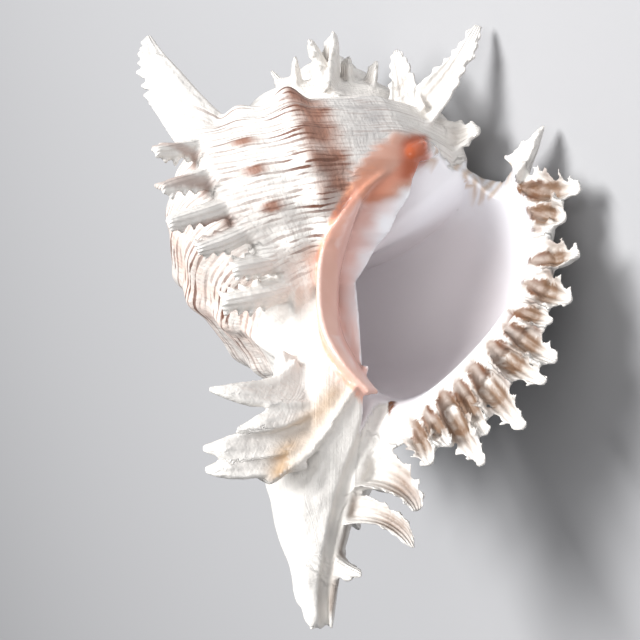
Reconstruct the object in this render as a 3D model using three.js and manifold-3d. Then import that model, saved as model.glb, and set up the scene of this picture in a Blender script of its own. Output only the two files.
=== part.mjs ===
// A ramose murex shell, grown in one piece, as one closed solid. Units are millimetres.
// The shell is built upright: apex at the origin, coil axis along Z, canal pointing down, opening toward -Y.
// The last section lays it down on the back of its body whorl and the tips of two fronds, with +Z up.

import * as THREE from "three";
import { ParametricGeometry } from "three/addons/geometries/ParametricGeometry.js";
import { mergeVertices } from "three/addons/utils/BufferGeometryUtils.js";
import Module from "manifold-3d";

const wasm = await Module();
wasm.setup();

// Coiling. A turn of 0 is the lip, and a turn of -1 is the same side of the shell one whorl earlier.
const WHORL_GROWTH = 1.6; // size ratio between one whorl and the one before it
const LIP_AZIMUTH = -33; // degrees about Z, where the lip stands
const OLDEST_TURN = -4;
const THREE_SIDED = 0.07; // share of the radius by which the three rows of fronds stand out
const SLANT = 0.01; // turns by which a growth line falls back for each profile row
const SLANT_FULL_TURN = -0.6; // the lip itself isn't slanted, and from here back the slant is full

// Profile of the last whorl at the lip, radius and height, from the suture over the shoulder to the neck.
const PROFILE = [
  [41, -70], [52, -74], [62.5, -83], [68.5, -94], [70, -107],
  [68, -122], [59.5, -137], [45, -150], [28, -161],
];
// Hidden side of a whorl's section, back to the axis.
const PROFILE_CLOSING = [[17, -169], [2, -172], [2, -72]];
const LAST_ROW = PROFILE.length - 1;
const SHOULDER_ROW = 2;
const LIP_NOTCH = 0.055; // turns by which the lip draws back above the shoulder
const LIP_NOTCH_ROW = 1;
const LIP_NOTCH_ROWS = 0.6; // how far the notch spreads along the profile
const LIP_NOTCH_REACH = 0.12;

// Sculpture, in millimetres at the size of the last whorl.
const VARIX_TURNS = [0, -1 / 3, -0.69, -1, -1.42, -1.83, -2.25, -2.67, -3.08];
const VARIX_HEIGHT = 5;
const VARIX_BEFORE = 0.02;
const VARIX_AFTER = 0.011;
const RIBS = [
  [-0.12, 1.5], [-0.22, 2.5], [-0.44, 2], [-0.54, 4], [-0.755, 3],
  [-0.84, 4.5], [-0.92, 1], [-1.17, 3], [-1.3, 2],
];
const RIB_WIDTH = 0.026;
const CORD_HEIGHT = 0.7;

// Canal: height, centre across and depthwise, half width. It bends back a little toward its tip.
const CANAL = [
  [-60, 0, 0, 3], [-95, 0, 0, 12], [-112, 0, 0, 16], [-140, 0, 0, 18.5], [-160, -1, 0, 19],
  [-172, -2.5, 1, 17], [-186, -5, 1.5, 11.7], [-200, -4.3, 3, 8], [-211, -3.5, 4.5, 5], [-217, -3, 5, 3],
];
const CANAL_DEPTH = 0.85; // depth of the canal over its width
const CANAL_SIDES = 14;
const SLIT = [
  [16, -13, -150], [11, -15, -164], [6.5, -14, -175], [5.5, -10, -186],
  [3, -6, -199], [0, -1.5, -209], [-2, 1.5, -220],
];
const SLIT_WIDTH = [8, 6, 4.6, 4.2, 4, 3.6, 3];
const SLIT_DEPTH = [14, 12, 10, 9, 8, 7, 6];

// Hollow of the last whorl: its outline at the lip, and how far back it goes.
const HOLLOW = [
  [45, -77], [51, -79.5], [59, -87], [64, -97], [65, -108], [62.5, -120], [54, -132.5], [42, -143],
  [30, -150], [21, -151], [11, -145], [4, -134], [1.5, -121], [2.5, -109], [9, -98], [21, -89], [35, -81],
];
const HOLLOW_MIDDLE = [36, -115];
const HOLLOW_TURNS = [0.05, 0.02, 0, -0.012, -0.03, -0.07, -0.13, -0.19, -0.25, -0.31, -0.37, -0.42];
const HOLLOW_SIZES = [1.22, 1.16, 1.11, 1.06, 1.02, 0.99, 0.97, 0.93, 0.87, 0.78, 0.62, 0.3];

// Inner lip: a rim from the notch by the suture down the left of the opening. It starts flush with the wall.
const INNER_LIP = [
  [27, -36, -76], [13, -38, -88], [5, -33, -98], [0, -24, -107],
  [-1, -19, -120], [1, -18, -132], [7, -17, -143], [14, -15, -151],
];
const INNER_LIP_STEPS = 12;
const INNER_LIP_SIDES = 8;
const INNER_LIP_HALF_WIDTH = 3.6;
const INNER_LIP_RISE = 4;

// Fronds from the shoulder down: profile row, length, width at the foot, width at the tip over that at the
// foot, lean toward the apex, sweep toward the next growth, and curl toward the apex over the length.
const LIP_FRONDS = [
  [2, 18, 19, 0.4, 12, 6, 10],
  [2.8, 19, 22, 0.6, -22, 6, 0],
  [4.7, 10, 13, 0.9, -10, 15, 0],
  [5.3, 11, 14, 0.9, -2, 12, 0],
  [5.75, 8, 10, 0.9, -3, 10, 0],
  [6.1, 15, 13, 0.8, 0, 5, 10],
  [6.45, 18, 14, 0.8, 5, 5, 10],
  [6.85, 22, 15, 0.8, -10, 5, 0],
  [7.2, 15, 12, 0.9, -4, 3, 0],
  [7.45, 23, 15, 0.8, -6, 5, 10],
  [7.75, 11, 12, 1, -10, 15, 0],
  [8, 11, 12, 1, -20, 15, 0],
];
const LEFT_FRONDS = [
  [2, 46, 30, 0.5, 32, 12, 45],
  [3.4, 16, 16, 1, -32, 15, 10],
  [4.6, 20, 16, 1.1, -34, 15, 10],
  [5.6, 25, 16, 1.1, -30, 22, 10],
  [6.4, 25, 15, 1.2, -10, 24, 10],
  [7.3, 18, 13, 1.3, -15, 25, 0],
  [7.9, 29, 15, 1.2, -10, 35, 10],
];
const BACK_FRONDS = [
  [2, 38, 24, 0.5, 15, 5, 25],
  [3.2, 15, 15, 1, -10, 10, 10],
  [4.2, 18, 16, 1.1, -8, 8, 10],
  [5, 14, 15, 1, -4, 10, 10],
  [5.7, 20, 16, 1.1, -4, 6, 10],
  [6.4, 17, 14, 1, 0, 8, 10],
  [7, 22, 15, 1.1, -6, 8, 10],
  [7.7, 15, 13, 1.1, -12, 12, 0],
];
// Fronds of the older whorls: turn first, then as above.
const SPIRE_FRONDS = [
  [-1, 2, 33, 17, 0.6, 10, 0, 20],
  [-1, 1.6, 29, 14, 0.7, 54, 12, 10],
  [-1, 3.2, 8, 11, 0.8, 0, 5, 0],
  [-1.42, 2, 23, 14, 0.6, 20, 5, 20],
  [-1.42, 3.2, 8, 10, 0.8, -5, 5, 0],
  [-1.83, 2, 15, 12, 0.8, 32, 10, 15],
  [-1.83, 3, 10, 9, 0.8, -20, 20, 0],
  [-2.25, 2, 9, 6, 0.7, 15, 5, 15],
  [-2.67, 2, 6, 5, 0.7, 15, 5, 15],
  [-3.08, 2, 5, 4, 0.7, 15, 5, 0],
];
// Arms that end the two older canals, and fronds beside the slit: foot, tip, width at the foot, and the width
// at the tip over that at the foot.
const CANAL_ARMS = [
  [[-3, -11, -142], [-19, -16, -181], 20, 1],
  [[-8, -13, -147], [-36, -27, -156], 13, 0.7],
  [[-11, -14, -154], [-28, -24, -168], 10, 0.7],
  [[-14, -15, -165], [-36, -24, -175], 12, 0.7],
  [[-16, -15, -172], [-35, -22, -180], 11, 0.8],
  [[3, 8, -141], [2, 27, -178], 19, 1],
  [[4, 13, -148], [22, 38, -160], 13, 0.7],
  [[3, 16, -158], [10, 42, -172], 11, 0.7],
  [[1, 18, -166], [-8, 38, -180], 11, 0.7],
  [[8, -7, -175], [28, -14, -189], 14, 1],
  [[4, -4, -187], [27, -10, -199], 10, 1],
  [[2, 0, -199], [10, -6, -206], 8, 1],
];

// A frond is a gutter that opens toward the growth side. Its section is across and depthwise, as shares of
// its half width. Each ring has a share of the length, a share of the width there and the lead of its edges.
const FROND_SECTION = [[-1, 0], [-0.55, -0.7], [0, -1], [0.55, -0.7], [1, 0], [0, -0.35]];
const FROND_RINGS = [[0, 1, 0], [0.4, 0.8, 0], [0.68, 0.9, 0.7], [0.76, 0.5, 0], [1, 0.35, 0.5]];
const FROND_SUNK = 4;
const FROND_DEPTH = 0.75; // depth of the gutter over its half width

// At rest: the direction in the upright shell that faces up, in degrees, and what is cut off at the floor.
const REST_AZIMUTH = 201.3;
const REST_ELEVATION = -22.6;
const REST_TRIM = 1;
const SIMPLIFY = 0.18; // edges and corners smaller than this are dropped

const radians = THREE.MathUtils.degToRad;
const smooth = THREE.MathUtils.smoothstep;
const vector = (place) => new THREE.Vector3(...place);
const bell = (value, width) => Math.exp(-((value / width) ** 2));
const profile = new THREE.SplineCurve(PROFILE.map((place) => new THREE.Vector2(...place)));

// A closed triangle mesh as a solid, turned to face outward.
function solidOf(geometry) {
  geometry.deleteAttribute("normal");
  geometry.deleteAttribute("uv");
  const merged = mergeVertices(geometry, 1e-3);
  const corners = merged.index.array;
  const kept = [];
  for (let i = 0; i < corners.length; i += 3) {
    const [a, b, c] = corners.slice(i, i + 3);
    if (a !== b && b !== c && c !== a) kept.push([a, b, c]);
  }
  const spot = (k) => new THREE.Vector3().fromBufferAttribute(merged.attributes.position, k);
  const volume = kept.reduce((sum, [a, b, c]) => sum + spot(a).dot(spot(b).cross(spot(c))), 0);
  const facing = kept.map(([a, b, c]) => (volume < 0 ? [a, c, b] : [a, b, c]));
  return new wasm.Manifold(new wasm.Mesh({
    numProp: 3,
    vertProperties: merged.attributes.position.array,
    triVerts: new Uint32Array(facing.flat()),
  }));
}

// A skin through closed sections with equal numbers of points, with both ends closed to their middles.
function loft(sections) {
  const middle = (section) =>
    section.reduce((sum, place) => sum.add(place), new THREE.Vector3()).divideScalar(section.length);
  const cap = (section) => section.map(() => middle(section));
  const rings = [cap(sections[0]), ...sections, cap(sections.at(-1))];
  const sides = sections[0].length;
  const skin = (across, along, target) =>
    target.copy(rings[Math.round(along * (rings.length - 1))][Math.round(across * sides) % sides]);
  return solidOf(new ParametricGeometry(skin, sides, rings.length - 1));
}

function joined(solids) {
  return solids.reduce((sum, solid) => sum.add(solid));
}

// The coiled wall

function placed(turn, radius, height) {
  const azimuth = radians(LIP_AZIMUTH - 360 * turn);
  const size = WHORL_GROWTH ** turn;
  const reach = radius * size * (1 + THREE_SIDED * Math.cos(6 * Math.PI * turn));
  return new THREE.Vector3(reach * Math.cos(azimuth), reach * Math.sin(azimuth), height * size);
}

function growthTurn(turn, row) {
  const slant = SLANT * Math.min(1, turn / SLANT_FULL_TURN) * (row - SHOULDER_ROW);
  const notch = LIP_NOTCH * bell(row - LIP_NOTCH_ROW, LIP_NOTCH_ROWS) * smooth(turn, -LIP_NOTCH_REACH, 0);
  return turn - slant - notch;
}

function relief(turn, row) {
  let height = CORD_HEIGHT * Math.cos(2 * Math.PI * row);
  for (const varix of VARIX_TURNS) {
    const past = turn - varix;
    height += VARIX_HEIGHT * bell(past, past < 0 ? VARIX_BEFORE : VARIX_AFTER);
  }
  for (const [rib, rise] of RIBS) height += rise * bell(turn - rib, RIB_WIDTH);
  return height * smooth(row, -0.5, 1.5);
}

function wallPoint(turn, row) {
  const place = profile.getPoint(row / LAST_ROW);
  const course = profile.getTangent(row / LAST_ROW);
  const rise = relief(turn, row);
  return placed(growthTurn(turn, row), place.x - course.y * rise, place.y + course.x * rise);
}

function whorlSection(turn, rowStep) {
  const section = [];
  for (let row = 0; row <= LAST_ROW; row += rowStep) section.push(wallPoint(turn, row));
  for (const [radius, height] of PROFILE_CLOSING) section.push(placed(turn, radius, height));
  return section;
}

// Turns at which a stretch of the wall has a section: its ends, and those that catch each varix and rib.
function sectionTurns(from, to) {
  const turns = [from, to, from * 0.75 + to * 0.25, (from + to) / 2, from * 0.25 + to * 0.75];
  for (const varix of VARIX_TURNS) {
    turns.push(varix - 0.045, varix - 0.022, varix, varix + 0.012, varix + 0.024);
  }
  for (const [rib] of RIBS) turns.push(rib - 0.03, rib, rib + 0.03);
  const inside = turns.filter((turn) => turn >= from && turn <= to).sort((a, b) => a - b);
  return inside.filter((turn, k) => k === 0 || turn - inside[k - 1] > 0.006);
}

function whorls() {
  const stretches = [];
  for (let third = 3 * OLDEST_TURN; third < 0; third += 1) {
    const rowStep = third >= -3 ? 0.5 : 1;
    const turns = sectionTurns(third / 3, (third + 1) / 3);
    stretches.push(loft(turns.map((turn) => whorlSection(turn, rowStep))));
  }
  return joined(stretches);
}

// The canal with its core up the axis, the slit in its front, and the hollow behind the opening

function canal() {
  return loft(CANAL.map(([height, across, back, half]) => {
    const ring = [];
    for (let side = 0; side < CANAL_SIDES; side += 1) {
      const angle = (2 * Math.PI * side) / CANAL_SIDES;
      const x = across + half * Math.cos(angle);
      const y = back + half * CANAL_DEPTH * Math.sin(angle);
      ring.push(new THREE.Vector3(x, y, height));
    }
    return ring;
  }));
}

function slit() {
  return loft(SLIT.map(([x, y, z], k) => {
    const half = SLIT_WIDTH[k] / 2;
    const deep = SLIT_DEPTH[k] / 2;
    return [[half, -deep], [half, deep * 0.5], [0, deep], [-half, deep * 0.5], [-half, -deep]].map(
      ([across, back]) => new THREE.Vector3(x + across, y + back, z),
    );
  }));
}

function hollow() {
  return loft(HOLLOW_TURNS.map((turn, k) => HOLLOW.map(([radius, height]) => placed(
    turn,
    HOLLOW_MIDDLE[0] + (radius - HOLLOW_MIDDLE[0]) * HOLLOW_SIZES[k],
    HOLLOW_MIDDLE[1] + (height - HOLLOW_MIDDLE[1]) * HOLLOW_SIZES[k],
  ))));
}

function innerLip() {
  const path = new THREE.CatmullRomCurve3(INNER_LIP.map(vector));
  const sections = [];
  for (let step = 0; step <= INNER_LIP_STEPS; step += 1) {
    const share = step / INNER_LIP_STEPS;
    const point = path.getPoint(share);
    const course = path.getTangent(share);
    const out = new THREE.Vector3(0, -1, 0).addScaledVector(course, course.y).normalize();
    const side = new THREE.Vector3().crossVectors(course, out);
    const swell = 0.25 + 0.75 * smooth(share, 0.1, 0.45) * (1 - 0.6 * smooth(share, 0.75, 1));
    const ring = [];
    for (let k = 0; k < INNER_LIP_SIDES; k += 1) {
      const angle = (2 * Math.PI * k) / INNER_LIP_SIDES;
      ring.push(point.clone()
        .addScaledVector(side, INNER_LIP_HALF_WIDTH * swell * Math.cos(angle))
        .addScaledVector(out, INNER_LIP_RISE * swell * Math.sin(angle)));
    }
    sections.push(ring);
  }
  return loft(sections);
}

// Fronds

// A curved gutter from its foot: out, along and front are the directions of the wall it grows on.
function frond(foot, out, along, front, [length, width, taper, lean, sweep, curl]) {
  const point = foot.clone().addScaledVector(out, -FROND_SUNK);
  const swept = radians(sweep);
  let reached = 0;
  return loft(FROND_RINGS.map(([share, spread, lead]) => {
    const tilt = radians(lean + curl * (share - 0.5));
    const course = out.clone().multiplyScalar(Math.cos(tilt)).addScaledVector(along, -Math.sin(tilt));
    course.multiplyScalar(Math.cos(swept)).addScaledVector(front, Math.sin(swept));
    point.addScaledVector(course, (length + FROND_SUNK) * (share - reached));
    reached = share;
    const across = along.clone().projectOnPlane(course).normalize();
    const facing = new THREE.Vector3().crossVectors(across, course);
    if (facing.dot(front) < 0) facing.negate();
    const half = (width / 2) * spread * (1 + (taper - 1) * share);
    return FROND_SECTION.map(([sideways, depth]) => point.clone()
      .addScaledVector(across, sideways * half)
      .addScaledVector(facing, (depth + 0.5) * half * FROND_DEPTH)
      .addScaledVector(course, sideways ** 2 * lead * Math.min(half, length / 6)));
  }));
}

function wallFrond(turn, [row, ...shape]) {
  const foot = wallPoint(turn, row);
  const along = wallPoint(turn, Math.min(LAST_ROW, row + 0.3)).sub(wallPoint(turn, row - 0.3)).normalize();
  const front = placed(turn + 0.001, 60, -110).sub(placed(turn - 0.001, 60, -110)).normalize();
  front.projectOnPlane(along).normalize();
  const out = new THREE.Vector3().crossVectors(along, front);
  if (out.x * foot.x + out.y * foot.y < 0) out.negate();
  return frond(foot, out, along, front, shape);
}

function canalArm([foot, tip, width, taper]) {
  const start = vector(foot);
  const reach = vector(tip).sub(start);
  const out = reach.clone().normalize();
  const front = new THREE.Vector3(0, Math.sign(foot[1]), 0).projectOnPlane(out).normalize();
  const along = new THREE.Vector3().crossVectors(out, front);
  return frond(start, out, along, front, [reach.length(), width, taper, 0, 0, 0]);
}

function fronds() {
  return joined([
    ...LIP_FRONDS.map((shape) => wallFrond(-0.004, shape)),
    ...LEFT_FRONDS.map((shape) => wallFrond(-0.69, shape)),
    ...BACK_FRONDS.map((shape) => wallFrond(-1 / 3, shape)),
    ...SPIRE_FRONDS.map(([turn, ...shape]) => wallFrond(turn, shape)),
    ...CANAL_ARMS.map(canalArm),
  ]);
}

// Lying down: Z is turned to the direction that faces up at rest, and Y to the coil axis along the floor.

function laidDown(solid) {
  const azimuth = radians(REST_AZIMUTH);
  const elevation = radians(REST_ELEVATION);
  const level = Math.cos(elevation);
  const up = new THREE.Vector3(Math.cos(azimuth) * level, Math.sin(azimuth) * level, Math.sin(elevation));
  const ahead = new THREE.Vector3(0, 0, 1).projectOnPlane(up).normalize();
  const side = new THREE.Vector3().crossVectors(ahead, up);
  const turned = new THREE.Matrix4().makeBasis(side, ahead, up).transpose();
  const lying = solid.transform(turned.toArray());
  const { min, max } = lying.boundingBox();
  const resting = lying.translate(-(min[0] + max[0]) / 2, -(min[1] + max[1]) / 2, -min[2] - REST_TRIM);
  const room = new THREE.BoxGeometry(1000, 1000, 1000).translate(0, 0, 500);
  return resting.intersect(solidOf(room));
}

const grown = joined([whorls(), canal(), fronds()]).subtract(hollow()).add(innerLip()).subtract(slit());
const wall = grown.decompose().reduce((most, piece) => (piece.volume() > most.volume() ? piece : most));
const mesh = laidDown(wall.simplify(SIMPLIFY)).getMesh();
const geometry = new THREE.BufferGeometry();
geometry.setAttribute("position", new THREE.BufferAttribute(new Float32Array(mesh.vertProperties), 3));
geometry.setIndex(new THREE.BufferAttribute(new Uint32Array(mesh.triVerts), 1));
geometry.computeVertexNormals();

const murexShell = new THREE.Mesh(
  geometry,
  new THREE.MeshStandardMaterial({ color: 0xe6dccb, roughness: 0.55, metalness: 0 }),
);
murexShell.name = "murex_shell";

const part = new THREE.Group();
part.add(murexShell);
export default part;
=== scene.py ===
"""Looks of the murex shell: one sculpted, coloured shell wall that stands in for the plain solid."""

import math
from collections import namedtuple

import bmesh
import bpy
import numpy as np
import openvdb
from mathutils import Matrix


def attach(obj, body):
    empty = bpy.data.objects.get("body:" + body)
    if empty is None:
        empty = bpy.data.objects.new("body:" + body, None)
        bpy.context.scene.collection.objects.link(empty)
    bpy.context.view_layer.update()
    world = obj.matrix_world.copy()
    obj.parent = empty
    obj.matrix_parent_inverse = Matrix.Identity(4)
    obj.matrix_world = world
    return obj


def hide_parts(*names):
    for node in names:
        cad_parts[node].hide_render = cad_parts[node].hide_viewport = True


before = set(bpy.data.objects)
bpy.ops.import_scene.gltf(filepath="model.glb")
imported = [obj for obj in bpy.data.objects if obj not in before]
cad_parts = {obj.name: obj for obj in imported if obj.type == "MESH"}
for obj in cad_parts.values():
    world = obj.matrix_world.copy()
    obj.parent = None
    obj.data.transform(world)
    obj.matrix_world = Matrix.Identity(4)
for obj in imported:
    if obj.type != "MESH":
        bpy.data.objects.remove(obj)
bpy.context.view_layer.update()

# The shell is built upright in millimetres, as in the solid: apex at the origin, coil axis along Z, canal
# down, opening toward -Y. Then it is laid down into the row frame, in metres. Angles are in degrees.
REST_AZIMUTH = 201.3  # with the elevation, the upright direction that points up at rest
REST_ELEVATION = -22.6
APEX_PLACE = (0.0003, 0.0947, 0.0229)  # in the row frame

# Camera of the photo, in the upright frame: it looks up at the shell from the canal's side.
CAMERA_TILT = 32
CAMERA_DISTANCE = 500
CAMERA_FIELD = 24
CAMERA_NEAREST = 0.01
CAMERA_TARGET = (0, 0, -100)
TARGET_PIXEL = (330, 280)  # where the target shows in the image
IMAGE_SIZE = 640

# Stage. A light has its place from the target to the right, up and back as the camera sees it, then its size
# and its power. They are in metres and watts.
KEY_LIGHT = (-1.35, 0.45, 0.85, 0.8, 46)
FILL_LIGHT = (-0.35, 0.05, 1.4, 0.8, 8)
LIGHT_TOP = (0.0, 1.0, 0.1)  # the way that a light's upper side faces
FLOOR_REACH = 6
FLOOR_COLOUR = (0.42, 0.42, 0.43, 1)
FLOOR_ROUGHNESS = 0.9
SKY_COLOUR = (0.9, 0.93, 1, 1)
SKY_STRENGTH = 0.13

# Coiling. A turn of 0 is the lip, and a turn of -1 is the same side of the shell one whorl earlier.
WHORL_GROWTH = 1.6  # size ratio between one whorl and the one before it
LIP_AZIMUTH = -33
OLDEST_TURN = -5
VARICES_PER_TURN = 3
THREE_SIDED = 0.07  # share of the radius by which the three rows of fronds stand out
SLANT = 0.01  # turns by which a growth line falls back for each profile row
SLANT_FULL_TURN = -0.6  # the lip itself isn't slanted, and from here back the slant is full
# Profile of the last whorl at the lip: radius and height, from the suture over the shoulder to the neck.
PROFILE = [
    (41, -70), (52, -74), (62.5, -83), (68.5, -94), (70, -107),
    (68, -122), (59.5, -137), (45, -150), (28, -161),
]
PROFILE_CLOSING = [(17, -169), (2, -172), (2, -72)]  # hidden side of a whorl's section
LAST_ROW = len(PROFILE) - 1
SHOULDER_ROW = 2
LIP_NOTCH = 0.055  # turns by which the lip draws back above the shoulder
LIP_NOTCH_ROW = 1
LIP_NOTCH_ROWS = 0.6  # how far the notch spreads along the profile
LIP_NOTCH_REACH = 0.12

# Sculpture: heights in millimetres at the size of the last whorl, places and widths in turns or in rows.
LEFT_VARIX = -0.69
BACK_VARIX = -1 / 3
VARIX_TURNS = (0, BACK_VARIX, LEFT_VARIX, -1, -1.42, -1.83, -2.25, -2.67, -3.08, -3.5)
VARIX_HEIGHT = 5
VARIX_BEFORE = 0.02
VARIX_AFTER = 0.011
ROOT_HEIGHT = 2.4  # of the ridges that lead into the fronds
ROOT_BEFORE = 0.045
ROOT_ROWS = 0.25
ROOT_END_ROWS = (6, 7)  # the ridges fade out between these
MAIN_RIB = -0.793
RIBS = [  # turn and height
    (-0.12, 1.5), (-0.22, 3), (-0.44, 2), (-0.54, 4), (-0.733, 3),
    (MAIN_RIB, 5.5), (-0.9, 1), (-1.17, 3), (-1.3, 2),
]
RIB_BEFORE = 0.015
RIB_AFTER = 0.021
RIB_LEAST = 0.7  # share of a rib's height between its knobs
RIB_CORD_KNOBS = 0.2
RIB_SHOULDER_KNOB = 0.6
RIB_SHOULDER_ROWS = 0.5
CORD_HEIGHT = 0.8
FINE_CORD_HEIGHT = 0.25
FINE_CORDS_PER_ROW = 3
SCULPTED_ROWS = (-0.5, 1.5)  # the sculpture comes up over these
UNEVEN_HEIGHT = 0.5
UNEVEN_SIZE = 22
UNEVEN_SEED = 5

# Canal: height, centre across and depthwise, half width.
CANAL = [
    (-60, 0, 0, 3), (-95, 0, 0, 12), (-112, 0, 0, 16), (-140, 0, 0, 18.5), (-160, -1, 0, 19),
    (-172, -2.5, 1, 17), (-186, -5, 1.5, 11.7), (-200, -4.3, 3, 8), (-211, -3.5, 4.5, 5.5),
    (-217, -3, 5, 4.2),
]
CANAL_DEPTH = 0.85  # over its width
CANAL_RINGS = 150
CANAL_SIDES = 96
CANAL_RIDGE_HEIGHT = 0.55
CANAL_RIDGE_SIZE = 4.5
CANAL_RIDGE_STRETCH = 0.16  # the ridges run along the canal
CANAL_RIDGE_SEED = 31
CANAL_RIDGED = (130, 160)  # depths below the apex over which the ridges come up
CANAL_SLENDER = 6  # half width below which the ridges get lower
CANAL_TORN = 2.2  # how unevenly the end of the canal breaks off
CANAL_TORN_SIZE = 3.5
CANAL_TORN_SEED = 32
CANAL_TORN_FROM = (206, 217)
SLIT = [
    (16, -13, -150), (11, -15, -164), (6, -13, -175), (2.5, -7.5, -186),
    (-0.3, -4, -199), (-1.8, 0.5, -209), (-1.6, 5, -220),
]
SLIT_WIDTH = (8, 6, 4.6, 4.2, 4, 3.6, 2.8)
SLIT_DEPTH = (14, 12, 10, 9, 8, 7, 9)
SLIT_RINGS = 60
SLIT_SIDES = 20
SLIT_ROUNDNESS = 0.7  # 1 is an ellipse, and less is nearer to a box

# Hollow of the last whorl: its outline at the lip, as radius and height, and its size at turns going in.
HOLLOW = [
    (45, -75.5), (52, -78), (59.5, -86), (64, -97), (65, -108), (62.5, -120), (54, -132.5), (42, -143),
    (30, -150), (21, -151), (11, -145), (4, -134), (1.5, -121), (2.5, -109), (9, -98), (21, -89), (35, -81),
]
HOLLOW_MIDDLE = (36, -115)
HOLLOW_TURNS = (0.05, 0.02, 0, -0.012, -0.03, -0.07, -0.13, -0.19, -0.25, -0.31, -0.37, -0.42)
HOLLOW_SIZES = (1.22, 1.16, 1.11, 1.06, 1.02, 0.99, 0.97, 0.93, 0.87, 0.78, 0.62, 0.3)
HOLLOW_RINGS = 90
HOLLOW_SIDES = 84

INNER_LIP = [
    (27, -36, -76), (13, -38, -88), (5, -33, -98), (0, -24, -107),
    (-1, -19, -120), (1, -18, -132), (7, -17, -143), (14, -15, -151),
]
INNER_LIP_HALF_WIDTH = 3.2
INNER_LIP_RISE = 4
INNER_LIP_RINGS = 70
INNER_LIP_LEAST = 0.25  # share of its full size at the upper end
INNER_LIP_GROWS = (0.1, 0.45)  # shares of its length
INNER_LIP_SHRINKS = (0.75, 1)
INNER_LIP_LOSS = 0.6
# Its section, from the free edge on the left over the slope into the hollow.
INNER_LIP_SECTION = [
    (1, -1), (1.05, 0), (1.05, 0.7), (0.95, 1), (0.7, 0.95),
    (0.3, 0.7), (-0.3, 0.35), (-1, -0.1), (-1.3, -1),
]
TOOTH = [(22, -36, -79), (26, -37, -76), (30, -35, -73), (34, -31, -70)]
TOOTH_HALF_WIDTH = (1, 3, 3.5, 2)
TOOTH_RINGS = 20
TOOTH_SIDES = 16
TOWARD_VIEWER = (0, -1, 0)

# Fronds: profile row, length, width at the foot, width at the tip over that, lean toward the apex, sweep
# toward the next growth, and curl toward the apex over the length.
LIP_FRONDS = [
    (1.95, 15, 16, 0.4, -10, 6, 30),
    (2.7, 15, 17, 0.7, -58, 6, 20),
    (3.5, 8, 15, 0.9, -40, 12, 0),
    (4.7, 10, 13, 0.9, -10, 15, 0),
    (5.3, 11, 14, 0.9, -2, 12, 0),
    (5.75, 8, 10, 0.9, -3, 10, 0),
    (6.1, 15, 13, 0.8, 0, 5, 10),
    (6.45, 18, 14, 0.8, 5, 5, 10),
    (6.85, 22, 15, 0.8, -10, 5, 0),
    (7.2, 15, 12, 0.9, -4, 3, 0),
    (7.45, 23, 15, 0.8, -6, 5, 10),
    (7.75, 11, 12, 1, -10, 15, 0),
    (8, 11, 12, 1, -20, 15, 0),
]
LEFT_FRONDS = [
    (2, 47, 27, 0.5, 32, 12, 45),
    (3.4, 16, 9, 1.1, -30, 15, 10),
    (4.6, 18, 8, 1.3, -26, 15, 10),
    (5.6, 20, 7, 1.4, 0, 18, 10),
    (6.4, 17, 6.5, 1.6, 20, 18, 10),
    (7.3, 14, 6.5, 1.8, 38, 15, 0),
    (7.9, 22, 8, 1.7, 22, 28, 10),
]
BACK_FRONDS = [
    (2, 38, 24, 0.5, 15, 5, 25),
    (3.2, 15, 10, 1.1, -10, 10, 10),
    (4.2, 18, 9, 1.3, -8, 8, 10),
    (5, 14, 9, 1.2, -4, 10, 10),
    (5.7, 20, 9, 1.4, -4, 6, 10),
    (6.4, 17, 9, 1.3, 0, 8, 10),
    (7, 22, 9, 1.4, -6, 8, 10),
    (7.7, 15, 9, 1.4, -12, 12, 0),
]
# Fronds of the older whorls: turn first, then as above.
SPIRE_FRONDS = [
    (-0.965, 2, 34, 13, 0.7, 0, -14, 30),
    (-0.965, 1.7, 26, 11, 0.8, 36, -10, 10),
    (-1, 3.2, 8, 11, 0.8, 0, 5, 0),
    (-1.42, 2, 23, 14, 0.6, 20, 5, 20),
    (-1.42, 3.2, 8, 10, 0.8, -5, 5, 0),
    (-1.83, 2.7, 15, 13, 0.9, 30, -18, 25),
    (-1.83, 2.7, 14, 12, 0.8, 32, 8, 35),
    (-1.77, 2.4, 10, 7, 0.8, 36, -10, 10),
    (-1.88, 2.4, 8, 8, 0.9, 34, -10, 10),
    (-1.93, 2.4, 8, 7, 0.8, 30, -15, 10),
    (-2.25, 2, 9, 6, 0.7, 15, 5, 15),
    (-2.67, 2, 6, 5, 0.7, 15, 5, 15),
    (-3.08, 2, 5, 4, 0.7, 15, 5, 0),
]
# Arms of the older canals and fronds beside the slit: foot, tip, foot width, tip width over that, bend.
CANAL_ARMS = [
    ((-3, -11, -142), (-19, -16, -181), 20, 1, -25),
    ((-10, -13, -147), (-37, -27, -156), 13, 0.6, -45),
    ((-11, -14, -154), (-28, -24, -168), 10, 0.7, -45),
    ((-14, -15, -164), (-38, -24, -174), 14, 0.6, -40),
    ((-16, -15, -171), (-37, -22, -180), 12, 0.7, -35),
    ((3, 8, -141), (2, 27, -178), 19, 1, -25),
    ((4, 13, -148), (22, 38, -160), 13, 0.7, -35),
    ((3, 16, -158), (10, 42, -172), 11, 0.7, -30),
    ((1, 18, -166), (-8, 38, -180), 11, 0.7, -30),
    ((8, -7, -175), (28, -14, -189), 14, 1, -80),
    ((4, -4, -187), (27, -10, -199), 10, 1, -80),
    ((2, 0, -199), (10, -6, -206), 8, 1, -30),
]
PRESENT_CANAL_ARMS = 9  # the arms from this place on grow beside the present slit
ARM_SEEDS = 100  # seed of the first arm
FROND_STEPS = 30
FROND_SIDES = 11
FROND_SUNK = 4  # length of the foot inside the wall
FROND_TWIST = 0.15
FROND_CRUMPLE = 0.22
CRUMPLED_THICKNESS = 2.4  # thicker leaves are crumpled less
FOOT_FLARE = 0.5
FRONT_PLACE = (60, -110)  # radius and height where the way that the coil grows is taken
FOOT_ROWS = 0.3  # rows to each side of the foot that give its direction
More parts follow.
